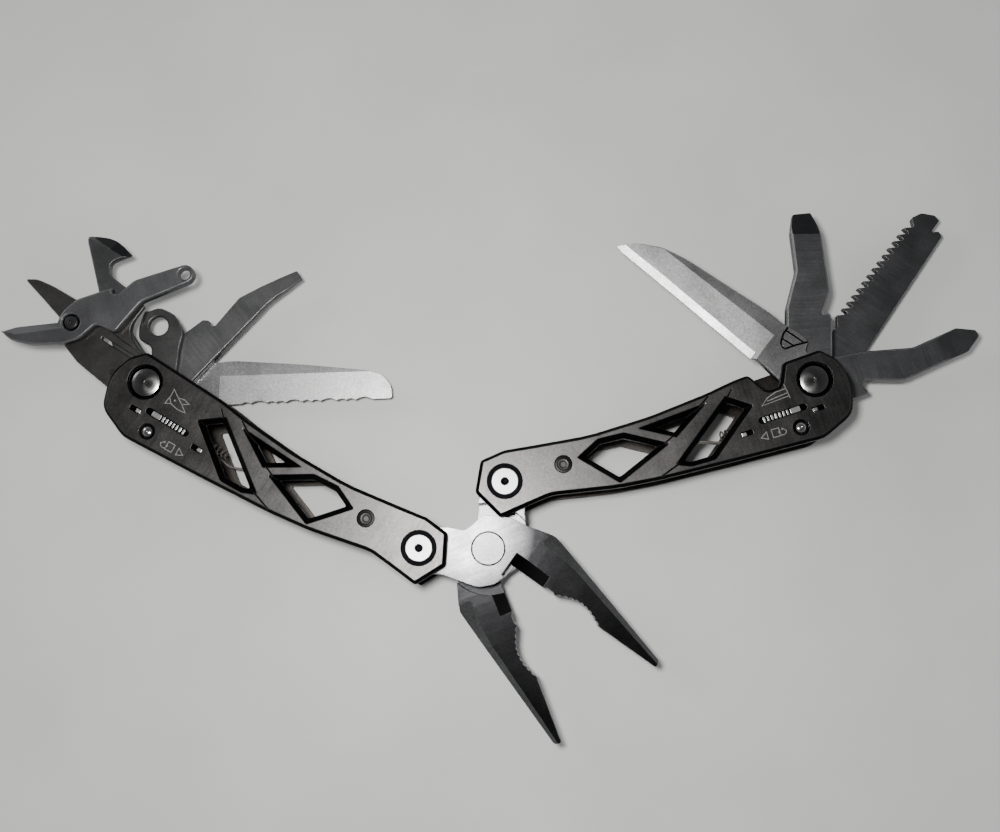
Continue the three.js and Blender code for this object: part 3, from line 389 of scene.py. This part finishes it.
def turned(profile, x, y, segments=96):
    """Vertices and faces of a profile of [radius, z] corners that is turned round (x, y).

    The profile starts and ends on the axis, and its material is on the left of its way.
    """
    vertices = []
    rings = []
    for radius, z in profile:
        count = 1 if radius == 0 else segments
        rings.append(range(len(vertices), len(vertices) + count))
        for k in range(count):
            angle = math.tau * k / segments
            vertices.append((x + radius * math.cos(angle), y + radius * math.sin(angle), z))
    faces = []
    for lower, upper in zip(rings, rings[1:]):
        for k in range(segments):
            a, b = lower[k % len(lower)], lower[(k + 1) % len(lower)]
            c, d = upper[(k + 1) % len(upper)], upper[k % len(upper)]
            corners = list(dict.fromkeys((a, b, c, d)))
            if len(corners) > 2:
                faces.append(corners)
    return vertices, faces


def from_face(face, profile):
    """A profile of [radius, depth] corners, deepest last, as [radius, z] in the handle frame."""
    points = [(r, THICK - d if face > 0 else d) for r, d in profile]
    return points[::-1] if face > 0 else points


# Places of the mid screws and of the lock pin in the handle frame.
SCREW_AT = (14.2, 0.5)
PIN_AT = (69.5, 9.7)
# Profiles of the heads, as corners of (radius, depth below the outer face).
DIMPLE = [(0, 0.32), (0.3, 0.26), (0.42, 0.12)]
DOME = [(0.7, 0.12), (1.2, 0.16), (1.7, 0.22), (2.2, 0.3), (2.7, 0.4), (3.1, 0.5), (3.3, 0.56)]
TOOL_HEAD = DIMPLE + DOME + [(3.45, 0.8), (3.9, 0.85), (3.9, 1.1)]
PLIERS_HEAD = [(0, 0.95), (0.75, 0.95), (0.85, 0.9), (0.9, 0.32), (1.0, 0.25), (3.0, 0.25),
               (3.12, 0.32), (3.2, 0.45), (3.2, 1.2)]
MID_HEAD = [(0, 0.75), (0.6, 0.75), (0.68, 0.7), (0.7, 0.24), (0.85, 0.16), (1.2, 0.16),
            (1.35, 0.28), (1.5, 0.42), (1.9, 0.5), (1.95, 0.6), (1.95, 1.0)]
MID_SHANK = [(1.15, 1.0), (1.15, PLATE + 0.5), (0, PLATE + 0.5)]
PIN_HALF = [(0, 0.22), (0.2, 0.2), (0.3, 0.13), (0.6, 0.17), (0.9, 0.26), (1.15, 0.4), (1.3, 0.7)]
# Colour, roughness and anisotropy of each head.
HEAD_LOOK = {
    "pliers": ((0.26, 0.255, 0.25), 0.32, 0.0),
    "tool": ((0.16, 0.158, 0.155), 0.2, 0.6),
}
# Radius of the shank, radius of the barrel and depth of the seat of each pivot.
SHANK = {"pliers": (1.6, 2.4, 1.2), "tool": (1.9, 2.75, 1.1)}
# Play between shank and barrel, and how far the shank goes past the tool's middle.
PIVOT_GAP = 0.3
SHANK_PAST_MIDDLE = 3


def pivot(side, name, x, head):
    """The screw, whose shank runs inside the barrel of the nut."""
    shank, barrel, seat = SHANK[name]
    centre = HANDLE[side] @ Vector((x, 0, 0))
    color, roughness, anisotropy = HEAD_LOOK[name]
    # What lies deeper than the head's face, in the hole and round the head, is painted black: painted
    # shade.
    look = metal(f"turned_{side}_{name}", color, roughness, rings=centre, grain=0.1,
                 bevel=0.06, speckle=0.05, lined=0.25, anisotropy=anisotropy,
                 zones=(below(0.62, 0.72, BLACK, 1.2),))
    tip = THICK - MID + SHANK_PAST_MIDDLE
    screw = head + [(shank, seat), (shank, tip), (0, tip)]
    inner = THICK - seat - PIVOT_GAP
    bore = shank + PIVOT_GAP
    bottom = seat + PIVOT_GAP
    nut = head + [(barrel, seat), (barrel, inner), (bore, inner), (bore, bottom), (0, bottom)]
    for face, profile, part in ((1, screw, "screw"), (-1, nut, "nut")):
        shape = turned(from_face(face, profile), x, 0)
        node = f"{side}_{name}_pivot_{part}"
        piece = made(f"fine_{node}", HANDLE[side], *shape, look, f"{side}_handle")
        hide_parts(node)


for side in SIDES:
    body = f"{side}_handle"
    pivot(side, "tool", SPAN, TOOL_HEAD)
    pivot(side, "pliers", 0.0, PLIERS_HEAD)
    for face in (1, -1):
        profile = MID_HEAD + MID_SHANK
        node = f"{side}_mid_screw_{level_name(side, face)}"
        shape = turned(from_face(face, profile), *SCREW_AT, segments=64)
        look = metal(f"look_{node}", (0.03, 0.029, 0.028), 0.36, grain=0.2, bevel=0.05,
                     zones=(between(0.2, 0.34, 0.02, (0.2, 0.19, 0.18)),))
        piece = made(f"fine_{node}", HANDLE[side], *shape, look, body)
        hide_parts(node)
    upper = [(r, THICK - d) for r, d in PIN_HALF]
    shape = turned(PIN_HALF + upper[::-1], *PIN_AT, segments=64)
    centre = HANDLE[side] @ Vector((*PIN_AT, 0))
    look = metal(f"turned_{side}_pin", (0.4, 0.395, 0.385), 0.15, rings=centre, grain=0.1, bevel=0.06)
    piece = made(f"fine_{side}_lock_pin", HANDLE[side], *shape, look, body)
    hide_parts(f"{side}_lock_pin")

RIVET_RADIUS = 3.8
RIVET_BEVEL = 0.1
JAW_BOTTOM = 3.4
JAW_TOP = 14.6
rivet_profile = [
    (0, JAW_BOTTOM), (RIVET_RADIUS - RIVET_BEVEL, JAW_BOTTOM),
    (RIVET_RADIUS, JAW_BOTTOM + RIVET_BEVEL), (RIVET_RADIUS, JAW_TOP - RIVET_BEVEL),
    (RIVET_RADIUS - RIVET_BEVEL, JAW_TOP), (0, JAW_TOP),
]
at_rivet = frame_matrix(RIVET, (1, 0, 0), 1)
rivet_look = metal("rivet_steel", (0.15, 0.15, 0.151), 0.35, grain=0.5, speckle=0.2, bevel=0.06)
rivet = made("fine_rivet", at_rivet, *turned(rivet_profile, 0, 0, 128), rivet_look, "jaw_right")
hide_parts("pliers_rivet")


# The lock's spring, in the handle frame.
SPRING_START = (52.4, 5.0, 8.6)
SPRING_LENGTH = 6.8
SPRING_RADIUS = 0.85
WIRE_RADIUS = 0.2
SPRING_TURNS = 6
STEPS_PER_TURN = 20


def coil(side):
    """The lock's spring: a round wire wound about the handle's length."""
    data = bpy.data.curves.new(f"fine_{side}_lock_spring", "CURVE")
    data.dimensions = "3D"
    data.bevel_depth = WIRE_RADIUS * MM
    data.bevel_resolution = 3
    data.use_fill_caps = True
    line = data.splines.new("POLY")
    count = SPRING_TURNS * STEPS_PER_TURN
    line.points.add(count)
    for k, point in enumerate(line.points):
        angle = math.tau * k / STEPS_PER_TURN
        x = SPRING_START[0] + SPRING_LENGTH * k / count
        y = SPRING_START[1] + SPRING_RADIUS * math.cos(angle)
        z = SPRING_START[2] + SPRING_RADIUS * math.sin(angle)
        point.co = (*(HANDLE[side] @ Vector((x, y, z))), 1.0)
    thing = bpy.data.objects.new(data.name, data)
    bpy.context.scene.collection.objects.link(thing)
    thing.data.materials.append(wire)
    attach(thing, f"{side}_handle")
    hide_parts(f"{side}_lock_spring")


def ribbon(points, width, low, high, closed=False):
    """Vertices and faces of a flat strip with mitred corners along a line of points."""
    line = [Vector(p) for p in points]
    count = len(line)
    vertices = []
    for k, here in enumerate(line):
        before = line[k - 1] if k or closed else None
        after = line[(k + 1) % count] if k + 1 < count or closed else None
        ways = [way.normalized() for way in
                ([here - before] if before else []) + ([after - here] if after else [])]
        along = sum(ways, Vector((0, 0))).normalized()
        across = Vector((-along.y, along.x)) * (width / 2 / max(0.5, along.dot(ways[0])))
        vertices += [(*(here + side * across), z) for z in (low, high) for side in (-1, 1)]
    faces = []
    for k in range(count if closed else count - 1):
        a, b = 4 * k, 4 * ((k + 1) % count)
        faces += [(a + p, b + p, b + q, a + q) for p, q in ((1, 0), (0, 2), (2, 3), (3, 1))]
    if not closed:
        last = 4 * (count - 1)
        faces += [(0, 1, 3, 2), (last, last + 2, last + 3, last + 1)]
    return vertices, faces


def round_line(centre, radius, start, end, steps=8):
    """Points on an arc, angles in degrees."""
    return [
        (centre[0] + radius * math.cos(a), centre[1] + radius * math.sin(a))
        for a in (math.radians(start + (end - start) * k / steps) for k in range(steps + 1))
    ]


# Signs on the plates that lie on top, in the handle frame, as lines of points and whether each
# line is closed. A line is a thin raised ribbon, which stands for an engraved one.
SIGN_LINE = 0.2
SIGN_RELIEF = 0.02
SCISSORS_SIGN = [
    ([(69.4, -2.1), (67.7, -1.0), (65.8, 0.1), (64.0, 1.4), (66.2, 1.6), (68.2, 1.2),
      (69.2, 0.2)], True),
    ([(69.3, -0.2), (69.5, 1.8), (68.2, 1.2)], False),
    ([(67.4, -0.85), (66.0, -1.2), (64.3, -0.9), (65.9, 0.05)], False),
    (round_line((67.8, 0.1), 0.14, 0, 315, 7), True),
]
KNIFE_SIGN = [
    ([(69.1, -1.2), (69.45, 2.4)], False),
    ([(69.2, -0.05), (66.7, 0.0), (64.4, 0.7), (62.5, 2.1), (69.35, 1.8)], False),
    ([(64.1, 1.4), (69.3, 1.0)], False),
]
LOCK_SIGN = [
    ([(63.7, 9.1), (61.9, 9.0), (61.8, 10.9), (63.6, 11.0)], True),
    (round_line((64.3, 10.1), 0.9, 200, 10, 8) + [(64.4, 9.4), (64.3, 9.9)], False),
    ([(60.7, 9.1), (59.1, 10.1), (60.6, 10.9)], True),
]
# Shift in x and y of the right handle's lock sign from the left one's place.
LOCK_SHIFT = (0.75, -0.95)
RIGHT_LOCK_SIGN = [
    ([(x + LOCK_SHIFT[0], y + LOCK_SHIFT[1]) for x, y in line], closed)
    for line, closed in LOCK_SIGN
]
sign_steel = metal("engraved", (0.2, 0.19, 0.18), 0.6, grain=0.6, speckle=0.25, bevel=0.02,
                 metallic=0.4)


def add_sign(side, lines, label):
    face = FLIP[side]
    surface = THICK if face > 0 else 0.0
    heights = sorted((surface - face * SIGN_RELIEF, surface + face * SIGN_RELIEF))
    vertices, faces = [], []
    for points, closed in lines:
        more, quads = ribbon(points, SIGN_LINE, *heights, closed)
        faces += [[i + len(vertices) for i in quad] for quad in quads]
        vertices += more
    made(f"{side}_sign_{label}", HANDLE[side], vertices, faces, sign_steel, f"{side}_handle")


add_sign("left", SCISSORS_SIGN, "scissors")
add_sign("left", LOCK_SIGN, "lock")
add_sign("right", KNIFE_SIGN, "knife")
add_sign("right", RIGHT_LOCK_SIGN, "lock")
for side in SIDES:
    coil(side)
    assign(f"{side}_leaf_spring", wire)
    assign(f"{side}_lock_bar", wire)
    for level in ("top", "bottom"):
        assign(f"{side}_lock_slide_{level}", slide)
assign("scissors_screw", black)
assign("scissors_stud", black)


# --- Stage ----------------------------------------------------------------------------------

# The camera's place from the foot of the rivet, in millimetres, and how it is turned.
CAMERA_OVER_RIVET = Vector((10.7, -12.9, 308.0))
CAMERA_TILT = math.radians(8.57)
CAMERA_ROLL = math.radians(1.55)
FOCAL_LENGTH = 45.0
SENSOR_WIDTH = 36.0
NEAR_CLIP = 0.01
FLOOR_SIZE = 6.0
FLOOR_DROP = 0.0002
# Place, aim and diameter of each light in metres, and its power in watts.
LIGHTS = {
    "key": ((-0.024, -0.006, 0.31), (-0.01, -0.01, 0), 0.04, 0.93),
    "window": ((-0.8, 0.5, 0.55), (0, 0, 0), 0.35, 1.6),
}
# Two ramps of the sky's light, which add up: the z of the view direction at the start and the
# end of a ramp, and the strength there.
CEILING = (0.35, 0.95, 0.42, 0.09)
WALL_BAND = (0.2, 0.5, 0.8, 0.0)


def light(name, place, aim, size, power):
    data = bpy.data.lights.new(name, "AREA")
    data.shape = "DISK"
    data.size = size
    data.energy = power
    lamp = bpy.data.objects.new(name, data)
    lamp.location = place
    lamp.rotation_euler = (Vector(aim) - Vector(place)).to_track_quat("-Z", "Y").to_euler()
    bpy.context.scene.collection.objects.link(lamp)


def sky():
    """A dim ceiling over brighter walls, with a bright band low down that lights the sides."""
    world = bpy.data.worlds.new("studio")
    bpy.context.scene.world = world
    world.use_nodes = True
    nodes, links = world.node_tree.nodes, world.node_tree.links
    way = nodes.new("ShaderNodeTexCoord")
    split = nodes.new("ShaderNodeSeparateXYZ")
    links.new(way.outputs["Generated"], split.inputs[0])
    both = nodes.new("ShaderNodeMath")
    for socket, (low, high, start, end) in zip(both.inputs, (CEILING, WALL_BAND)):
        ramp = nodes.new("ShaderNodeMapRange")
        ramp.inputs["From Min"].default_value = low
        ramp.inputs["From Max"].default_value = high
        ramp.inputs["To Min"].default_value = start
        ramp.inputs["To Max"].default_value = end
        links.new(split.outputs["Z"], ramp.inputs["Value"])
        links.new(ramp.outputs[0], socket)
    links.new(both.outputs[0], nodes["Background"].inputs["Strength"])
    nodes["Background"].inputs["Color"].default_value = (0.96, 0.98, 1.0, 1.0)


def stage():
    camera = bpy.data.objects.new("camera", bpy.data.cameras.new("camera"))
    camera.data.lens = FOCAL_LENGTH
    camera.data.sensor_width = SENSOR_WIDTH
    camera.data.clip_start = NEAR_CLIP
    turn = Matrix.Rotation(CAMERA_ROLL, 4, "Y") @ Matrix.Rotation(CAMERA_TILT, 4, "X")
    foot = Vector((RIVET.x, RIVET.y, 0.0)) + CAMERA_OVER_RIVET * MM
    camera.matrix_world = Matrix.Translation(foot) @ turn
    bpy.context.scene.collection.objects.link(camera)
    bpy.context.scene.camera = camera

    bpy.ops.mesh.primitive_plane_add(size=FLOOR_SIZE, location=(0, 0, -FLOOR_DROP))
    floor = bpy.context.object
    floor.name = "floor"
    s = Shader("floor_white")
    cloud = s.ramp(s.noise(22.0, 4.0), 0.35, 0.7)
    s.put(s.bsdf.inputs["Base Color"], s.mix(cloud, (0.6, 0.6, 0.58), (0.66, 0.66, 0.64)))
    s.bsdf.inputs["Roughness"].default_value = 0.45
    floor.data.materials.append(s.material)

    for name, settings in LIGHTS.items():
        light(name, *settings)
    sky()


stage()
